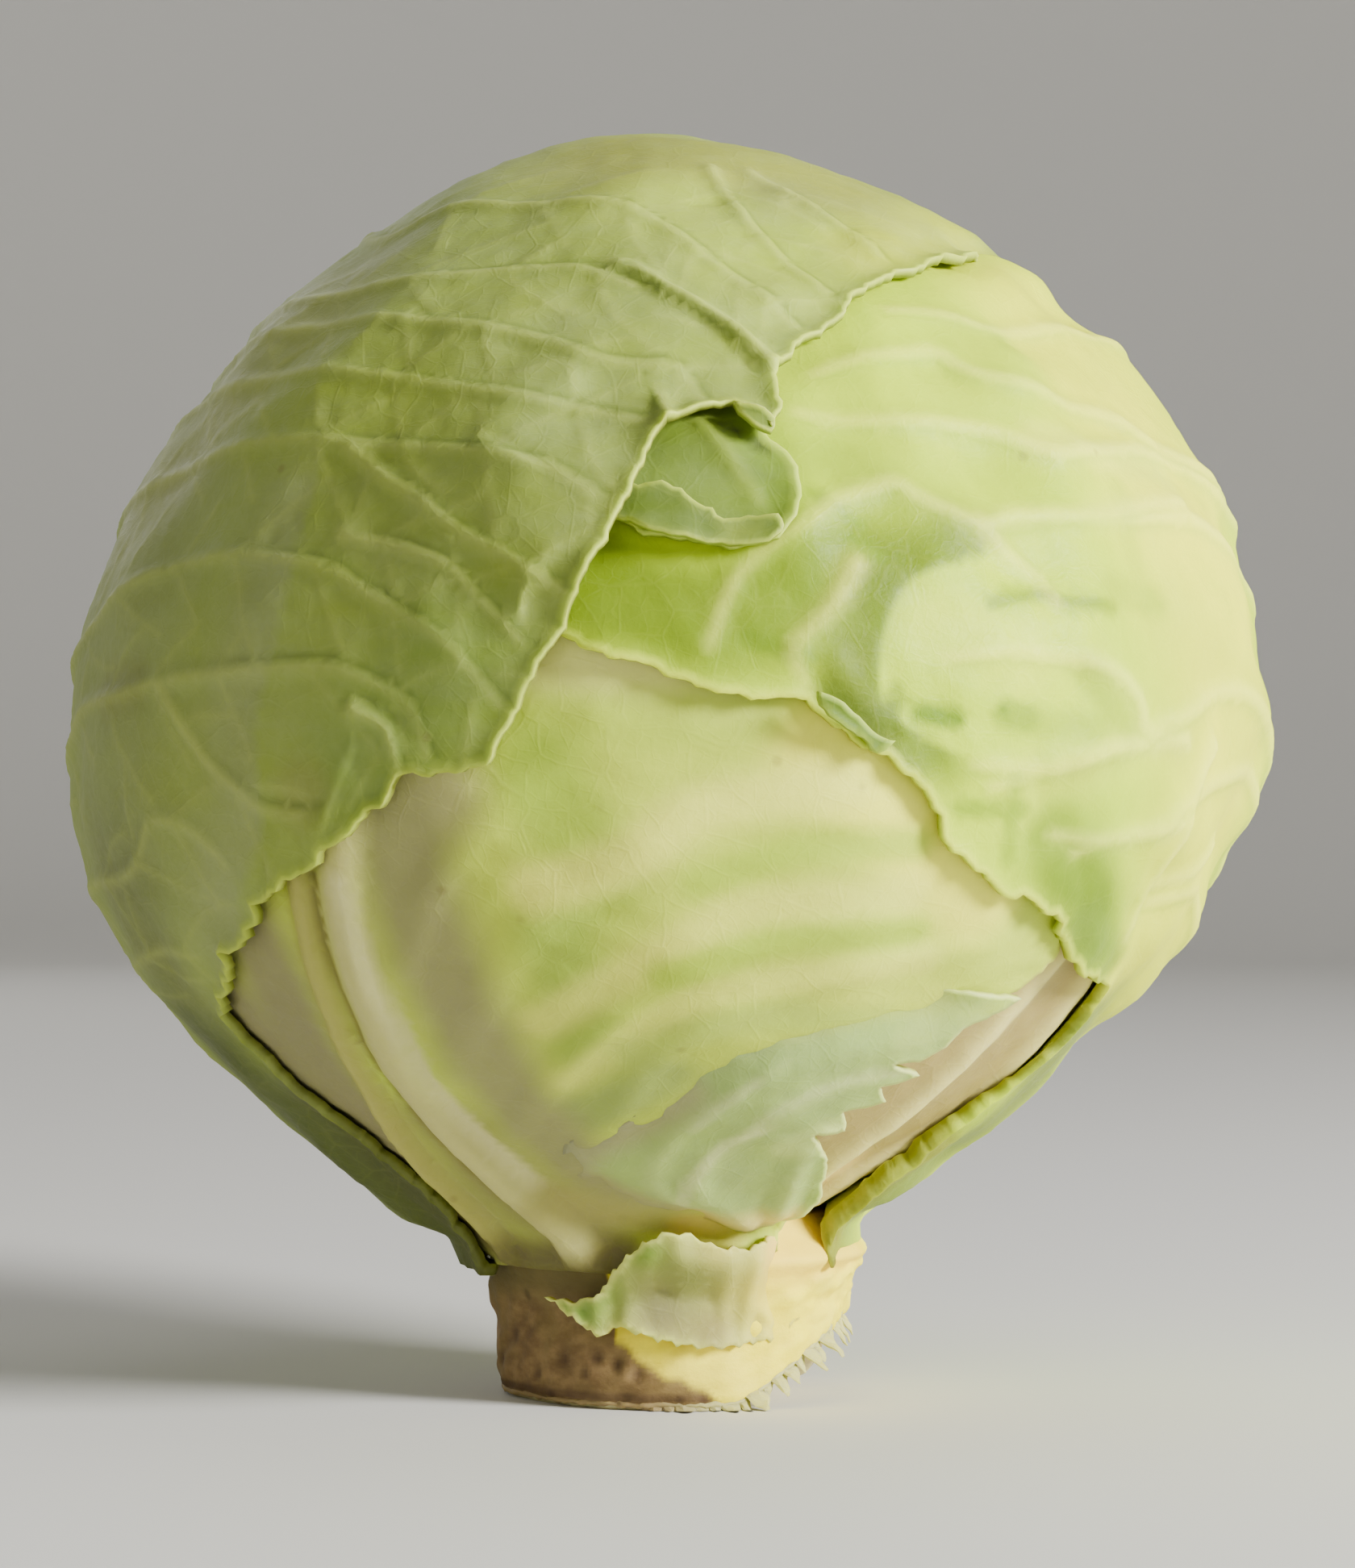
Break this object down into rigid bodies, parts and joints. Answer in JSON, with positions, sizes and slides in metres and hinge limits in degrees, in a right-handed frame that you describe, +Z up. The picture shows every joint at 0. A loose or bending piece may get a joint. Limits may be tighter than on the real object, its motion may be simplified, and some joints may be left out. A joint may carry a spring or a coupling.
{
  "type": "white cabbage",
  "caption": "Round head of smooth-leaved white cabbage standing on its cut stalk, with wrapper leaves torn open at the front.",
  "frame": {"origin": "middle of the flat cut of the stalk, on which the head stands", "axes": "+Z up along the head from the cut to the crown; -Y towards the torn front of the picture; +X to the right of the picture"},
  "size_m": [0.1785, 0.1776, 0.1883],
  "materials": {
    "stalk_skin": "matte",
    "head_cream": "satin",
    "front_leaf_pale": "satin",
    "right_leaf_bright": "satin",
    "back_leaf_green": "satin",
    "tucked_leaf_olive": "satin",
    "left_leaf_green": "satin",
    "torn_leaf_glaucous": "satin",
    "stalk_leaf_green": "satin"
  },
  "bodies": {
    "root": {"stalk": "stalk_skin", "head": "head_cream", "front_leaf": "front_leaf_pale", "right_wrapper_leaf": "right_leaf_bright", "back_wrapper_leaf": "back_leaf_green", "tucked_leaf": "tucked_leaf_olive", "left_wrapper_leaf": "left_leaf_green", "torn_leaf": "torn_leaf_glaucous", "stalk_leaf": "stalk_leaf_green"}
  },
  "joints": []
}
